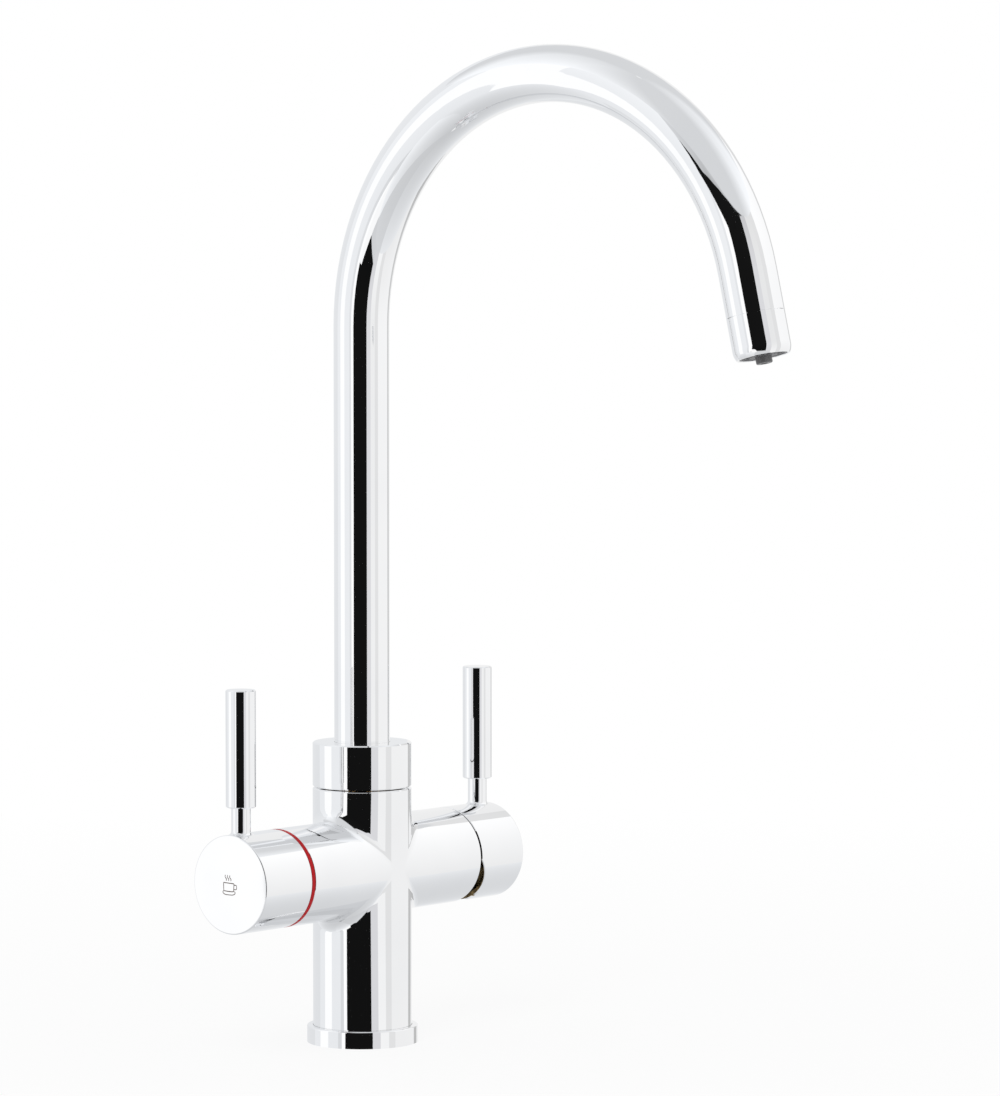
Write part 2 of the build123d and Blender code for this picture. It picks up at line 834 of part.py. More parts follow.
def all_nodes():
    return {
        "tap_body": tap_body(),
        "base_ring": base_ring(),
        "base_seal": base_seal(),
        "red_ring": red_ring(),
        "lower_bush": lower_bush(),
        "upper_bush": upper_bush(),
        "spout_retaining_ring": spout_retaining_ring(),
        "hose_seal": hose_seal(),
        "boiling_port_seals": port_seals(boiling_ports(), boiling_seat, -1),
        "boiling_fixed_disc": boiling_fixed_disc(),
        "boiling_valve_housing": boiling_valve_housing(),
        "boiling_valve_nut": boiling_valve_nut(),
        "boiling_return_spring": boiling_return_spring(),
        "mixer_port_seals": port_seals(mixer_ports(), mixer_seat, 1),
        "mixer_fixed_disc": mixer_fixed_disc(),
        "mixer_cartridge": mixer_cartridge(),
        "mixer_nut": mixer_nut(),
        "mixer_shroud": mixer_shroud(),
        "spout_collar": spout_collar(),
        "spout_spigot": spout_spigot(),
        "spout_seals": spout_seals(),
        "spout_tube": spout_tube(),
        "boiling_hose": boiling_hose(),
        "nozzle_sleeve": nozzle_sleeve(),
        "flow_straightener": flow_straightener(),
        "straightener_washer": straightener_washer(),
        "boiling_tip": boiling_tip(),
        "boiling_handle_knob": boiling_handle_knob(),
        "boiling_grip": grip(-1),
        "boiling_grub_screw": grub_screw(-1),
        "boiling_spindle": boiling_spindle(),
        "boiling_turning_disc": boiling_turning_disc(),
        "mixer_rotor": mixer_rotor(),
        "mixer_pivot_pin": mixer_pivot_pin(),
        "mixer_handle_knob": mixer_handle_knob(),
        "mixer_grip": grip(1),
        "mixer_grub_screw": grub_screw(1),
        "mixer_spindle": mixer_spindle(),
        "mixer_sliding_disc": mixer_sliding_disc(),
        "mixer_disc_carrier": mixer_disc_carrier(),
    }


os.makedirs("parts", exist_ok=True)
for name, shape in all_nodes().items():
    save(shape, name)
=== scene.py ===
# %% [markdown]
# # A boiling water tap in polished chrome
# The shapes of this tap come from a CAD model that is loaded as a fixed frame. What is left for
# Blender is how it looks: a camera where the photographer stood, a studio for the chrome to
# mirror, a finish for every part, and the small sign on the boiling water handle. Chrome has
# almost no colour of its own, so the studio is as much of the work as the metal.

import math

import bmesh
import bpy
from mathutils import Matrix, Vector


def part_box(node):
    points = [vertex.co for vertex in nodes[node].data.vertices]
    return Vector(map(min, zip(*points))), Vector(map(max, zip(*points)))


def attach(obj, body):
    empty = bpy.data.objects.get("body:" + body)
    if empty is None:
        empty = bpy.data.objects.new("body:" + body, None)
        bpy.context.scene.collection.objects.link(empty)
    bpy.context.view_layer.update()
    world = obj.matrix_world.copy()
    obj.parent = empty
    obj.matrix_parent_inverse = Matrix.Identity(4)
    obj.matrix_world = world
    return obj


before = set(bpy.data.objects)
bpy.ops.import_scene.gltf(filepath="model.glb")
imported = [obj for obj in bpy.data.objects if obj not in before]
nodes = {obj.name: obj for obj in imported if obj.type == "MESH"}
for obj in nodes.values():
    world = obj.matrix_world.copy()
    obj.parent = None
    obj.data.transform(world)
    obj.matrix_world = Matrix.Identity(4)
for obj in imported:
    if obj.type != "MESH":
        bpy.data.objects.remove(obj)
bpy.context.view_layer.update()

# %% [markdown]
# ## The camera
# A tap that is 39 cm tall was photographed from two metres away with a long lens, so its upright
# lines stay nearly parallel. The lens stands a little lower than the bend of the spout and looks
# down on the base by a few degrees. The numbers were fitted to the outlines of the column, the
# bend and the two handles, with no lens shift.

# %% Place the camera
view_turn = math.radians(40.5)
view_dip = math.radians(3.674)
camera_data = bpy.data.cameras.new("camera")
camera_data.sensor_width = 36
camera_data.lens = 171.19
camera = bpy.data.objects.new("camera", camera_data)
camera.location = (-1.526, -1.3751, 0.3279)
camera.rotation_euler = (math.pi / 2 - view_dip, 0, view_turn - math.pi / 2)
scene = bpy.context.scene
scene.collection.objects.link(camera)
scene.camera = camera
scene.view_settings.view_transform = "Standard"
print("Camera stands", round(camera.location.length, 3), "m from the foot of the tap")

# %% [markdown]
# ## The light
# The room gives an even white light from all sides. The camera and the metal see it as plain
# white, and the matt parts get it a little weaker, with one large soft lamp from the front left to
# round them off. The lamp is hidden from the metal, which has cards of its own to mirror.

# %% Light the room
world = bpy.data.worlds.new("white_room")
world.use_nodes = True
scene.world = world
room = world.node_tree
background = room.nodes["Background"]
rays = room.nodes.new("ShaderNodeLightPath")
seen_rays = room.nodes.new("ShaderNodeMath")
seen_rays.operation = "ADD"
room.links.new(rays.outputs["Is Camera Ray"], seen_rays.inputs[0])
room.links.new(rays.outputs["Is Glossy Ray"], seen_rays.inputs[1])
all_seen = room.nodes.new("ShaderNodeMath")
all_seen.operation = "ADD"
room.links.new(seen_rays.outputs[0], all_seen.inputs[0])
room.links.new(rays.outputs["Is Transmission Ray"], all_seen.inputs[1])
room_level = room.nodes.new("ShaderNodeMapRange")
room_level.inputs["To Min"].default_value = 0.75
room_level.inputs["To Max"].default_value = 1.0
room.links.new(all_seen.outputs[0], room_level.inputs["Value"])
room.links.new(room_level.outputs[0], background.inputs["Strength"])
background.inputs["Color"].default_value = (1, 1, 1, 1)

lamp_data = bpy.data.lights.new("soft_lamp", "AREA")
lamp_data.shape = "DISK"
lamp_data.size = 1.2
lamp_data.energy = 12
lamp = bpy.data.objects.new("soft_lamp", lamp_data)
lamp.location = (-1.5, -0.7, 1.9)
lamp.rotation_euler = (Vector((0, 0, 0.1)) - lamp.location).to_track_quat("-Z", "Y").to_euler()
lamp.visible_glossy = False
scene.collection.objects.link(lamp)
print("Lamp of", lamp_data.energy, "W stands", round(lamp.location.length, 2), "m away")

# %% [markdown]
# ## The floor
# The tap stands on a plain white floor that runs on until it meets the white of the room. For the
# camera, most of its colour is plain white and the rest is lit by the lamp, so it stays white and
# still takes a faint shadow round the foot. Further out it is all white, so no horizon shows. The
# metal doesn't see it: the real tap stood well above the floor of its studio, and its foot
# mirrors what lies below.

# %% Lay the floor
floor_material = bpy.data.materials.new("white_floor")
floor_material.use_nodes = True
floor_tree = floor_material.node_tree
matt = floor_tree.nodes["Principled BSDF"]
matt.inputs["Base Color"].default_value = (0.93, 0.93, 0.93, 1)
matt.inputs["Roughness"].default_value = 0.9
glow = floor_tree.nodes.new("ShaderNodeEmission")
glow.inputs["Strength"].default_value = 1.0
floor_rays = floor_tree.nodes.new("ShaderNodeLightPath")
floor_place = floor_tree.nodes.new("ShaderNodeTexCoord")
from_foot = floor_tree.nodes.new("ShaderNodeVectorMath")
from_foot.operation = "LENGTH"
floor_tree.links.new(floor_place.outputs["Object"], from_foot.inputs[0])
fade_out = floor_tree.nodes.new("ShaderNodeMapRange")
fade_out.inputs["From Min"].default_value = 0.1
fade_out.inputs["From Max"].default_value = 0.8
fade_out.inputs["To Min"].default_value = 0.86
fade_out.inputs["To Max"].default_value = 1.0
floor_tree.links.new(from_foot.outputs["Value"], fade_out.inputs["Value"])
whiteness = floor_tree.nodes.new("ShaderNodeMath")
whiteness.operation = "MULTIPLY"
floor_tree.links.new(floor_rays.outputs["Is Camera Ray"], whiteness.inputs[0])
floor_tree.links.new(fade_out.outputs[0], whiteness.inputs[1])
blend = floor_tree.nodes.new("ShaderNodeMixShader")
floor_tree.links.new(whiteness.outputs[0], blend.inputs["Fac"])
floor_tree.links.new(matt.outputs[0], blend.inputs[1])
floor_tree.links.new(glow.outputs[0], blend.inputs[2])
floor_tree.links.new(blend.outputs[0], floor_tree.nodes["Material Output"].inputs["Surface"])

floor_shape = bmesh.new()
bmesh.ops.create_circle(floor_shape, cap_ends=True, segments=64, radius=60)
floor_mesh = bpy.data.meshes.new("floor")
floor_shape.to_mesh(floor_mesh)
floor_shape.free()
floor_mesh.materials.append(floor_material)
floor = bpy.data.objects.new("floor", floor_mesh)
scene.collection.objects.link(floor)
floor.visible_glossy = False
print("Floor radius:", round(floor.dimensions.x / 2), "m")

# %% [markdown]
# ## The cards that the chrome mirrors
# A chromed tube mirrors the whole room, squeezed into its width. The photographer hung large
# white and grey cards round the tap and left one dark gap towards the camera: it is the black
# stripe on every upright part. Most cards here are strips of a round tent, turned about the tap,
# and they glow in a few whites and greys. Bearings are counted in degrees from the camera's side,
# to the right as positive. Only the metal sees the cards.

# %% A material that glows as bright as its card says
chrome_brightness = 0.9


def glow_of(level, tint):
    """The light that chrome shows as this level, from 0 to 255, by the sRGB curve."""
    share = level / 255
    linear = ((share + 0.055) / 1.055) ** 2.4 if share > 0.04 else share / 12.92
    return Vector(tint) * (linear / chrome_brightness)


card_material = bpy.data.materials.new("glowing_card")
card_material.use_nodes = True
card_tree = card_material.node_tree
card_tree.nodes.remove(card_tree.nodes["Principled BSDF"])
card_glow = card_tree.nodes.new("ShaderNodeEmission")
card_level = card_tree.nodes.new("ShaderNodeAttribute")
card_level.attribute_name = "glow"
card_tree.links.new(card_level.outputs["Vector"], card_glow.inputs["Color"])
card_tree.links.new(card_glow.outputs[0], card_tree.nodes["Material Output"].inputs["Surface"])
card_material.cycles.emission_sampling = "NONE"
print("Chrome shows 255 for a glow of", round(glow_of(255, (1, 1, 1)).x, 2))

# %% Helpers that hang the cards
camera_side = view_turn + math.pi
face_degrees = 1.5


def bearing(degrees):
    """The level direction at this many degrees to the right of the camera's side."""
    turn = camera_side + math.radians(degrees)
    return Vector((math.cos(turn), math.sin(turn), 0))


def level_between(stops, degrees, ring):
    """The level of one ring of a tent card at a bearing, between its two nearest stops."""
    for (before, first_levels), (after, last_levels) in zip(stops, stops[1:]):
        if degrees <= after:
            share = (degrees - before) / (after - before)
            return first_levels[ring] + share * (last_levels[ring] - first_levels[ring])
    return stops[-1][1][ring]


def hang_card(name, shape):
    """Makes a card of the finished bmesh, which only the metal sees."""
    mesh = bpy.data.meshes.new(name)
    shape.to_mesh(mesh)
    shape.free()
    mesh.materials.append(card_material)
    card = bpy.data.objects.new(name, mesh)
    scene.collection.objects.link(card)
    card.visible_camera = False
    card.visible_diffuse = False
    card.visible_shadow = False
    return card


def tent_card(name, rings, stops, tint):
    """A curved card round the tap. The rings give the radius and height of its rows, from the
    bottom up; each stop gives a bearing and the level of every ring there."""
    first, last = stops[0][0], stops[-1][0]
    shape = bmesh.new()
    glow_layer = shape.verts.layers.float_vector.new("glow")
    ring_layer = shape.verts.layers.int.new("ring")
    corners = []
    for ring, (radius, height) in enumerate(rings):
        corner = shape.verts.new(bearing(first) * radius + Vector((0, 0, height)))
        corner[ring_layer] = ring
        corners.append(corner)
    edges = [shape.edges.new(pair) for pair in zip(corners, corners[1:])]
    bmesh.ops.spin(shape, geom=corners + edges, cent=(0, 0, 0), axis=(0, 0, 1),
                   angle=math.radians(last - first),
                   steps=max(1, round((last - first) / face_degrees)))
    for corner in shape.verts:
        turn = math.degrees(math.atan2(corner.co.y, corner.co.x) - camera_side)
        degrees = first + (turn - first + 0.5) % 360 - 0.5
        level = level_between(stops, degrees, corner[ring_layer])
        corner[glow_layer] = glow_of(level, tint)
    return hang_card(name, shape)


def flat_card(name, corners, tint):
    """A flat card with the given corners, each with its own level."""
    shape = bmesh.new()
    glow_layer = shape.verts.layers.float_vector.new("glow")
    points = []
    for place, level in corners:
        point = shape.verts.new(place)
        point[glow_layer] = glow_of(level, tint)
        points.append(point)
    shape.faces.new(points)
    return hang_card(name, shape)


# %% [markdown]
# ## The walls of the tent
# The upright parts mirror the walls. Each wall is a plain card with one job: white sides, a pale
# back, a bright box on the left, a large soft box on the right, and a grey slit beside it that
# gives the tubes an edge. A card is one white, or it runs evenly from one white at its foot to
# another at its head, as a card does that is lit from above.

# %% Name the whites and greys of the cards
bright, white, soft_white, pale, silver, grey, dim = 255, 245, 235, 225, 215, 200, 180
cool = (0.965, 0.98, 1.0)
lavender = (0.975, 0.975, 1.0)
plain = (1, 1, 1)
print("Whites and greys:", 7)

# %% Hang the walls
low, high = -0.3, 0.95
gap_left, gap_right = -42, 39
low_wall, low_wall_head = -50, 0.58
inner_radius = 0.99


def wall(name, first, last, foot, head, tint, radius=1.0, top=high):
    """A plain wall card between two bearings, with one level at its foot and one at its head."""
    return tent_card(name, [(radius, low), (radius, top)],
                     [(first, (foot, head)), (last, (foot, head))], tint)


wall("wall_back_left", -180, -115, pale, soft_white, cool)
wall("wall_left", -115, low_wall, soft_white, white, cool)
wall("side_box", -96, -74, bright, bright, plain, radius=inner_radius)
wall("wall_beside_gap", low_wall, gap_left, silver, soft_white, cool, top=low_wall_head)
wall("wall_right", gap_right, 58, white, pale, plain)
wall("pale_wall", 58, 73, pale, pale, plain)
wall("soft_box", 73, 135, soft_white, bright, plain)
wall("grey_slit", 135, 152, dim, pale, plain)
wall("wall_back_right", 152, 180, soft_white, soft_white, plain)
print("Wall cards: 9")

# %% [markdown]
# ## The dark gap
# The black stripe on every upright part is a gap in the tent towards the camera, with the dark
# studio behind it. Its two edges are posts, a bright strip on the left and a grey card on the
# right, and they stand where the stripes on the column and on the far end of the spout agree: the
# left one further off than the right one. The bright strip is lower than the gap, so the dark
# reaches further left above it. Below, the dark studio ends where its pale floor starts, and a
# white flag stands in front of its lower left corner.

# %% Hang the two posts
def post(name, rows, tint):
    """An upright card between two edges. Each row gives, for its gap edge and then for its outer
    edge, the bearing, radius, height and level."""
    for number, (bottom, top) in enumerate(zip(rows, rows[1:])):
        corners = [bottom[0], bottom[1], top[1], top[0]]
        flat_card(name + "_" + str(number),
                  [(bearing(degrees) * radius + Vector((0, 0, height)), level)
                   for degrees, radius, height, level in corners], tint)


strip_edge, strip_distance = -32.2, 1.5
grey_edge, grey_distance = 22.5, 1.05
post("bright_strip",
     [((-35, strip_distance, low, bright), (gap_left, 1, low, bright)),
      ((strip_edge, strip_distance, 0.12, bright), (gap_left, 1, 0.12, bright)),
      ((strip_edge, strip_distance, 0.72, bright), (gap_left, 1, low_wall_head, bright))], plain)
post("grey_post",
     [((grey_edge, grey_distance, low, silver), (gap_right, 1, low, silver)),
      ((grey_edge, grey_distance, 0.5, pale), (gap_right, 1, 0.5, pale)),
      ((22, grey_distance, high, grey), (gap_right, 1, high, grey))], lavender)
gap = bearing(strip_edge) * strip_distance - bearing(grey_edge) * grey_distance
print("Gap width at its middle:", round(gap.length, 2), "m")

# %% Fill the gap with the dark studio
studio_distance = 4.0
black, faint_black = 15, 25
floor_grey, flag_white = 205, 250
before_dark, before_floor = 0.05, 0.1


def in_studio(right, height, nearer=0.0):
    """A place in the studio behind the camera, to the right of the camera's side."""
    return (bearing(0) * (studio_distance - nearer) + bearing(90) * right
            + Vector((0, 0, height)))


flat_card("dark_studio", [(in_studio(-8, -2.2), black), (in_studio(3, -2.2), black),
                          (in_studio(3, 6), faint_black), (in_studio(-8, 6), faint_black)], plain)
floor_points = [(-4, -4, floor_grey), (3, -4, silver), (3, -1.75, silver), (-4, -1.62, floor_grey)]
flat_card("studio_floor", [(in_studio(right, height, before_dark), level)
                           for right, height, level in floor_points], cool)
flag_points = [(-3.4, -4), (-1.1, -4), (-1.26, -1.66), (-1.46, -1.24), (-1.82, -0.85),
               (-2.4, -0.8), (-3.4, -0.8)]
flat_card("white_flag", [(in_studio(right, height, before_floor), flag_white)
                         for right, height in flag_points], plain)
print("Studio cards: 3")

# %% [markdown]
# ## The ceiling and what lies below
# The bend of the spout and the tops of the two arms mirror the ceiling, a silver cloth with a
# soft box on either side. Over the gap a hanging strip with a sloping lower edge closes the dark
# off. The undersides mirror four cards that lie below the tap, grey near it and lighter further
# out.

# %% Hang the strip that closes the dark off
valance_foot = [(low_wall, 0.73), (-40, 0.72), (-30, 0.8), (-15, 0.885), (0, 0.93), (22, 0.942),
                (gap_right, 0.945)]
valance_start = 0.7
valance = tent_card("valance", [(1, valance_start), (1, high)],
                    [(low_wall, (silver, silver)), (-30, (dim, grey)), (gap_right, (grey, grey))],
                    cool)
for corner in valance.data.vertices:
    if corner.co.z < (valance_start + high) / 2:
        turn = math.degrees(math.atan2(corner.co.y, corner.co.x) - camera_side)
        degrees = (turn + 180) % 360 - 180
        foot = [(at, (height,)) for at, height in valance_foot]
        corner.co.z = level_between(foot, degrees, 0)
print("The strip's foot rises from", valance_foot[0][1], "to", valance_foot[-1][1], "m")

# %% Hang the ceiling: a silver cloth with a soft box on either side
soft_boxes = [(-180, silver), (-140, silver), (-110, bright), (-75, bright), (-40, silver),
              (40, silver), (80, bright), (110, bright), (130, silver), (180, silver)]
centre_radius, ceiling_top = 0.02, 1.4
tent_card("ceiling", [(1, high), (centre_radius, ceiling_top)],
          [(degrees, (level, silver)) for degrees, level in soft_boxes], cool)
print("Soft boxes in the ceiling: 2")

# %% Lay the floor cards: grey at the tap, lighter further out
for name, first, last, level in (("ground_back_left", -180, -60, soft_white),
                                 ("ground_front_left", -60, -15, white),
                                 ("ground_front", -15, 40, silver),
                                 ("ground_right", 40, 180, soft_white)):
    tent_card(name, [(centre_radius, low), (1, low)],
              [(first, (grey, level)), (last, (grey, level))], cool)
print("Floor cards: 4")

# %% [markdown]
# ## Polished chrome
# Chrome plate is a thin blue-grey mirror over polished brass. Brass castings keep a faint ripple
# from the polishing wheel, and the plate has a breath of haze here and there, so the mirror isn't
# perfect: a low bump bends its lines a little, and its roughness wanders between nearly none and
# slightly more. The base colour is bright, because polished chrome mirrors about nine tenths.

# %% Two helpers for materials, and the chrome
def start_material(name, roughness, metallic=0.0):
    """A material with its shader, and Object coordinates for its patterns."""
    material = bpy.data.materials.new(name)
    material.use_nodes = True
    tree = material.node_tree
    shader = tree.nodes["Principled BSDF"]
    shader.inputs["Roughness"].default_value = roughness
    shader.inputs["Metallic"].default_value = metallic
    place = tree.nodes.new("ShaderNodeTexCoord")
    return material, tree, shader, place.outputs["Object"]


def noise(tree, place, scale, detail=3.0, stretch=(1, 1, 1)):
    """A noise pattern of so many features to the metre, stretched if asked."""
    mapping = tree.nodes.new("ShaderNodeMapping")
    mapping.inputs["Scale"].default_value = stretch
    pattern = tree.nodes.new("ShaderNodeTexNoise")
    pattern.inputs["Scale"].default_value = scale
    pattern.inputs["Detail"].default_value = detail
    tree.links.new(place, mapping.inputs["Vector"])
    tree.links.new(mapping.outputs[0], pattern.inputs["Vector"])
    return pattern.outputs["Fac"]


def spread(tree, value, low_value, high_value):
    """Spreads a pattern's middle range between two values."""
    ranger = tree.nodes.new("ShaderNodeMapRange")
    ranger.inputs["From Min"].default_value = 0.3
    ranger.inputs["From Max"].default_value = 0.7
    ranger.inputs["To Min"].default_value = low_value
    ranger.inputs["To Max"].default_value = high_value
    tree.links.new(value, ranger.inputs["Value"])
    return ranger.outputs[0]


def two_colours(tree, value, first, second):
    """A colour between two, by a pattern's middle range."""
    ramp = tree.nodes.new("ShaderNodeValToRGB")
    ramp.color_ramp.elements[0].position = 0.35
    ramp.color_ramp.elements[1].position = 0.65
    ramp.color_ramp.elements[0].color = (*first, 1)
    ramp.color_ramp.elements[1].color = (*second, 1)
    tree.links.new(value, ramp.inputs["Fac"])
    return ramp.outputs["Color"]


def relief(tree, shader, height, depth):
    """Raises a pattern by a depth in metres."""
    bump = tree.nodes.new("ShaderNodeBump")
    bump.inputs["Strength"].default_value = 1.0
    bump.inputs["Distance"].default_value = depth
    tree.links.new(height, bump.inputs["Height"])
    tree.links.new(bump.outputs[0], shader.inputs["Normal"])


def make_chrome(name, ripple):
    """Chrome plate. The ripple is the depth that polishing left, in metres."""
    material, tree, shader, place = start_material(name, 0.03, 1.0)
    colour = two_colours(tree, noise(tree, place, 30), (0.885, 0.89, 0.9), (0.905, 0.908, 0.915))
    tree.links.new(colour, shader.inputs["Base Color"])
    haze = spread(tree, noise(tree, place, 55, 5), 0.015, 0.05)
    tree.links.new(haze, shader.inputs["Roughness"])
    relief(tree, shader, noise(tree, place, 40, 1), ripple)
    return material


cast_chrome = make_chrome("chrome_on_casting", 0.00002)
turned_chrome = make_chrome("chrome_on_turned_parts", 0.000008)
print("Chrome:", cast_chrome.name, "and", turned_chrome.name)

# %% [markdown]
# ## The bores of the knobs
# Chrome plating stops where a knob's bore begins, because hardly any current reaches in there.
# The gap under the mixer handle lets one look in, so the bore is bare brass, with near-black
# patches of painted shade standing in for the dark inside it.
# A mask picks it out: all that lies nearer the barrel's axis than the bore's radius and less far
# out than its end. Colour and roughness change over together.

# %% Leave the knobs' bores bare, with painted shade
def mix_in(tree, mask, plated, bare, kind):
    """Mixes a plated and a bare finish by the mask; either may be a node's output or a value."""
    mix = tree.nodes.new("ShaderNodeMix")
    mix.data_type = kind
    first, second = (2, 3) if kind == "FLOAT" else (6, 7)
    tree.links.new(mask, mix.inputs[0])
    for socket, source in ((mix.inputs[first], plated), (mix.inputs[second], bare)):
        if isinstance(source, bpy.types.NodeSocket):
            tree.links.new(source, socket)
        else:
            socket.default_value = source
    return mix.outputs[0 if kind == "FLOAT" else 2]


def below(tree, value, limit):
    """One where a value is below its limit, else nought."""
    test = tree.nodes.new("ShaderNodeMath")
    test.operation = "LESS_THAN"
    test.inputs[1].default_value = limit
    tree.links.new(value, test.inputs[0])
    return test.outputs[0]


barrel_height = 0.0696
bore_radius = 0.0187
bore_reach = 0.0745
knob_finish = make_chrome("chrome_on_knobs", 0.000015)
tree = knob_finish.node_tree
shader = tree.nodes["Principled BSDF"]
plated_colour = shader.inputs["Base Color"].links[0].from_socket
plated_haze = shader.inputs["Roughness"].links[0].from_socket
place = tree.nodes["Texture Coordinate"].outputs["Object"]
to_axis = tree.nodes.new("ShaderNodeVectorMath")
to_axis.operation = "MULTIPLY_ADD"
to_axis.inputs[1].default_value = (0, 1, 1)
to_axis.inputs[2].default_value = (0, 0, -barrel_height)
tree.links.new(place, to_axis.inputs[0])
from_axis = tree.nodes.new("ShaderNodeVectorMath")
from_axis.operation = "LENGTH"
tree.links.new(to_axis.outputs[0], from_axis.inputs[0])
along = tree.nodes.new("ShaderNodeSeparateXYZ")
tree.links.new(place, along.inputs[0])
outwards = tree.nodes.new("ShaderNodeMath")
outwards.operation = "ABSOLUTE"
tree.links.new(along.outputs["X"], outwards.inputs[0])
in_bore = tree.nodes.new("ShaderNodeMath")
in_bore.operation = "MULTIPLY"
tree.links.new(below(tree, from_axis.outputs["Value"], bore_radius), in_bore.inputs[0])
tree.links.new(below(tree, outwards.outputs[0], bore_reach), in_bore.inputs[1])
# Brass with near-black patches: painted shade inside the bore.
bore_brass_and_painted_shade = two_colours(tree, noise(tree, place, 420, 4), (0.05, 0.035, 0.018), (0.42, 0.31, 0.15))
tree.links.new(mix_in(tree, in_bore.outputs[0], plated_colour, bore_brass_and_painted_shade, "RGBA"),
               shader.inputs["Base Color"])
tree.links.new(mix_in(tree, in_bore.outputs[0], plated_haze, 0.42, "FLOAT"),
               shader.inputs["Roughness"])
print("Bare inside a radius of", bore_radius * 1000, "mm")

# %% Give the chromed parts their finish
def finish_nodes(material, names):
    """Puts a material on CAD nodes."""
    for name in names:
        nodes[name].material_slots[0].material = material


finish_nodes(cast_chrome, ["tap_body"])
finish_nodes(knob_finish, ["boiling_handle_knob", "mixer_handle_knob"])
finish_nodes(turned_chrome, ["base_ring", "spout_collar", "spout_tube", "nozzle_sleeve",
                             "boiling_grip", "mixer_grip"])
print("Chromed parts: 9")

# %% [markdown]
# ## The red ring
# The ring that marks the boiling side is a thin band of dyed acrylic, so deep in colour that the
# white room hardly shows in it. Its specular level is therefore low, the dye is a little uneven,
# and its skin has a fine grain from the saw.

# %% Red acrylic
red_acrylic, tree, shader, place = start_material("red_acrylic", 0.4)
dye = two_colours(tree, noise(tree, place, 120), (0.44, 0.006, 0.010), (0.53, 0.010, 0.015))
tree.links.new(dye, shader.inputs["Base Color"])
tree.links.new(spread(tree, noise(tree, place, 300), 0.32, 0.46), shader.inputs["Roughness"])
shader.inputs["Specular IOR Level"].default_value = 0.12
relief(tree, shader, noise(tree, place, 500, 2), 0.000006)
finish_nodes(red_acrylic, ["red_ring"])
ring_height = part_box("red_ring")[1].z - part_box("red_ring")[0].z
print("Red ring height:", round(ring_height * 1000, 1), "mm")

# %% [markdown]
# ## Turned brass and plain steel
# The parts inside are bare brass, fresh from the lathe, with fine rings round their axes. The
# barrel's parts turn about X and the spigot about Z, so the rings are drawn by distance along
# that axis. The springs, pins and screws are bright drawn steel with lengthwise streaks.

# %% Turned brass
def make_brass(name, along):
    """Brass with tool marks that follow one another along an axis."""
    material, tree, shader, place = start_material(name, 0.28, 1.0)
    tone = two_colours(tree, noise(tree, place, 90, 4), (0.60, 0.40, 0.17), (0.78, 0.57, 0.29))
    tree.links.new(tone, shader.inputs["Base Color"])
    marks = tree.nodes.new("ShaderNodeTexWave")
    marks.bands_direction = along
    marks.inputs["Scale"].default_value = 900
    marks.inputs["Distortion"].default_value = 1.5
    tree.links.new(place, marks.inputs["Vector"])
    tree.links.new(spread(tree, marks.outputs["Fac"], 0.2, 0.38), shader.inputs["Roughness"])
    relief(tree, shader, marks.outputs["Fac"], 0.000004)
    return material


finish_nodes(make_brass("brass_turned_about_x", "X"),
             ["boiling_valve_housing", "boiling_valve_nut", "boiling_spindle", "mixer_nut",
              "mixer_spindle"])
finish_nodes(make_brass("brass_turned_about_z", "Z"), ["spout_spigot"])
print("Brass parts: 6")

# %% Drawn steel
drawn_steel, tree, shader, place = start_material("drawn_steel", 0.25, 1.0)
steel_tone = two_colours(tree, noise(tree, place, 150, 4), (0.50, 0.51, 0.53), (0.62, 0.63, 0.64))
tree.links.new(steel_tone, shader.inputs["Base Color"])
streaks = noise(tree, place, 900, 2, (1, 1, 0.1))
tree.links.new(spread(tree, streaks, 0.16, 0.36), shader.inputs["Roughness"])
relief(tree, shader, streaks, 0.000004)
finish_nodes(drawn_steel, ["spout_retaining_ring", "boiling_return_spring", "boiling_grub_screw",
                           "mixer_grub_screw", "mixer_pivot_pin"])
print("Steel parts: 5")

# %% [markdown]
# ## Moulded plastics, rubber and ceramic
# The rest is moulded. Moulded plastic keeps the fine spark-eroded skin of its mould, so it gets a
# tiny grain and a roughness that wanders. The hose is smooth and milky, the seals are matt
# rubber, and the valve's discs are lapped ceramic, nearly a mirror, with fine grey specks.

# %% Plastics
def make_plastic(name, dark, light, roughness, grain):
    """Moulded plastic between two tones, with the grain of its mould."""
    material, tree, shader, place = start_material(name, roughness)
    tone = two_colours(tree, noise(tree, place, 200, 4), dark, light)
    tree.links.new(tone, shader.inputs["Base Color"])
    skin = noise(tree, place, 3500, 2)
    sheen = spread(tree, skin, roughness - 0.06, roughness + 0.08)
    tree.links.new(sheen, shader.inputs["Roughness"])
    relief(tree, shader, skin, grain)
    return material


finish_nodes(make_plastic("black_moulding", (0.012, 0.012, 0.013), (0.022, 0.022, 0.024), 0.42,
                          0.000012),
             ["mixer_shroud", "mixer_rotor", "mixer_disc_carrier", "lower_bush", "upper_bush"])
finish_nodes(make_plastic("grey_moulding", (0.14, 0.142, 0.15), (0.18, 0.182, 0.19), 0.45,
                          0.000012), ["mixer_cartridge", "flow_straightener"])
finish_nodes(make_plastic("tip_moulding", (0.12, 0.12, 0.125), (0.17, 0.17, 0.175), 0.35,
                          0.000008), ["boiling_tip"])
finish_nodes(make_plastic("milky_hose", (0.74, 0.74, 0.71), (0.82, 0.82, 0.8), 0.38, 0.000004),
             ["boiling_hose"])
print("Plastic parts: 9")

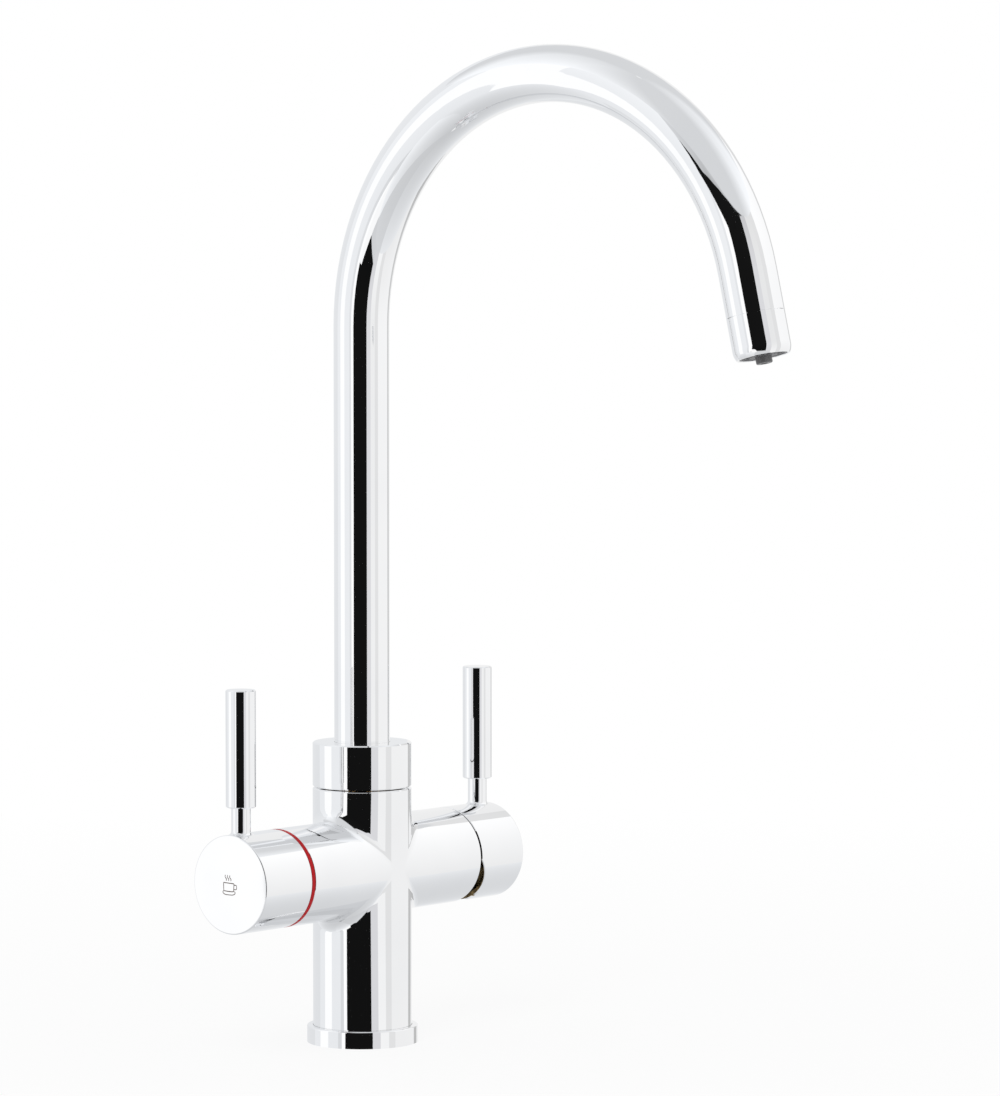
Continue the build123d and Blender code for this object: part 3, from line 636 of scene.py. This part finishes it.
# %% Rubber and ceramic
rubber, tree, shader, place = start_material("black_rubber", 0.75)
tree.links.new(two_colours(tree, noise(tree, place, 250, 4), (0.018, 0.018, 0.018),
                           (0.034, 0.034, 0.035)), shader.inputs["Base Color"])
bloom = noise(tree, place, 1800, 4)
tree.links.new(spread(tree, bloom, 0.62, 0.85), shader.inputs["Roughness"])
relief(tree, shader, bloom, 0.00002)
finish_nodes(rubber, ["base_seal", "hose_seal", "boiling_port_seals", "mixer_port_seals",
                      "spout_seals", "straightener_washer"])

ceramic, tree, shader, place = start_material("lapped_ceramic", 0.12)
specks = tree.nodes.new("ShaderNodeTexVoronoi")
specks.inputs["Scale"].default_value = 2500
tree.links.new(place, specks.inputs["Vector"])
tree.links.new(two_colours(tree, specks.outputs["Distance"], (0.7, 0.69, 0.66),
                           (0.86, 0.85, 0.82)), shader.inputs["Base Color"])
tree.links.new(spread(tree, specks.outputs["Distance"], 0.08, 0.2), shader.inputs["Roughness"])
finish_nodes(ceramic, ["boiling_fixed_disc", "boiling_turning_disc", "mixer_fixed_disc",
                       "mixer_sliding_disc"])
print("Rubber parts: 6, ceramic discs: 4")

# %% [markdown]
# ## The sign on the boiling water handle
# A small steaming cup on the handle's end face says which side is boiling. It is drawn in thin
# lines that are etched and filled. A curve with a round bevel gives even lines with round ends
# in one go; they are then pressed flat on the domed face, so that they lie in it as a filled line
# does. The face looks along -X, so its right-hand side is -Y.

# %% Draw the cup's lines
face_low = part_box("boiling_handle_knob")[0]
knob_radius = 0.01925
dome_rise = 0.0006
line_width = 0.00038
line_sink = 0.000004
line_relief = 0.00001


def steam(middle):
    """One curl of steam, in millimetres to the right and up."""
    return [(middle + 0.4, 1.7), (middle + 0.8, 2.3), (middle - 0.4, 3.1), (middle, 3.9)]


cup_lines = [
    steam(-1.9), steam(-0.7), steam(0.5),
    [(-2.9, 0.9), (-2.9, 0.9), (2.6, 0.75), (2.6, 0.75)],
    [(-2.9, 0.9), (-2.85, -1.1), (-2.8, -2.2), (-2.2, -2.35), (0, -2.4), (1.6, -2.4),
     (2.4, -2.3), (2.5, -1.3), (2.6, 0.75)],
    [(2.55, 0.2), (3.4, 0.3), (3.9, 0.2), (4.0, -0.5), (3.95, -1.3), (3.3, -1.5),
     (2.45, -1.45)],
    [(-2.8, -2.3), (-3.3, -2.5), (-3.2, -3.2), (-2.2, -3.7), (0, -3.75), (2.2, -3.65),
     (3.2, -3.1), (3.2, -2.4), (2.45, -2.2)],
]
sign_curve = bpy.data.curves.new("cup_sign", "CURVE")
sign_curve.dimensions = "3D"
sign_curve.bevel_depth = line_width / 2
sign_curve.bevel_resolution = 2
sign_curve.use_fill_caps = True
for points in cup_lines:
    line = sign_curve.splines.new("NURBS")
    line.points.add(len(points) - 1)
    for point, (right, up) in zip(line.points, points):
        point.co = (0, -right / 1000, up / 1000, 1)
    line.order_u = min(3, len(points))
    line.use_endpoint_u = True
    line.resolution_u = 8
drawing = bpy.data.objects.new("cup_drawing", sign_curve)
print("Lines in the sign:", len(cup_lines))

# %% Press the lines on the domed face
sign_mesh = bpy.data.meshes.new_from_object(drawing)
sign_mesh.name = "cup_sign"
bpy.data.objects.remove(drawing)
for vertex in sign_mesh.vertices:
    across, up = vertex.co.y, vertex.co.z
    from_middle = math.hypot(across, up) / knob_radius
    face = face_low.x + dome_rise * from_middle ** 2
    lift = vertex.co.x / (line_width / 2)
    vertex.co = (face + line_sink + lift * line_relief, across, up + barrel_height)
places = list(zip(*(vertex.co for vertex in sign_mesh.vertices)))
print("Sign size:", [round(1000 * (max(along) - min(along)), 2) for along in places], "mm")

# %% Fill the lines and fix the sign to the handle
etched, tree, shader, place = start_material("etched_fill", 0.5)
tree.links.new(two_colours(tree, noise(tree, place, 1500), (0.10, 0.078, 0.068),
                           (0.17, 0.135, 0.118)), shader.inputs["Base Color"])
tree.links.new(spread(tree, noise(tree, place, 4000), 0.4, 0.6), shader.inputs["Roughness"])
sign_mesh.materials.clear()
sign_mesh.materials.append(etched)
sign = bpy.data.objects.new("cup_sign", sign_mesh)
scene.collection.objects.link(sign)
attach(sign, "boiling_handle")
print("Sign rides on the boiling water handle")

# %% [markdown]
# ## Finish
# The last cell brings the scene up to date.

# %% Bring the scene up to date
bpy.context.view_layer.update()
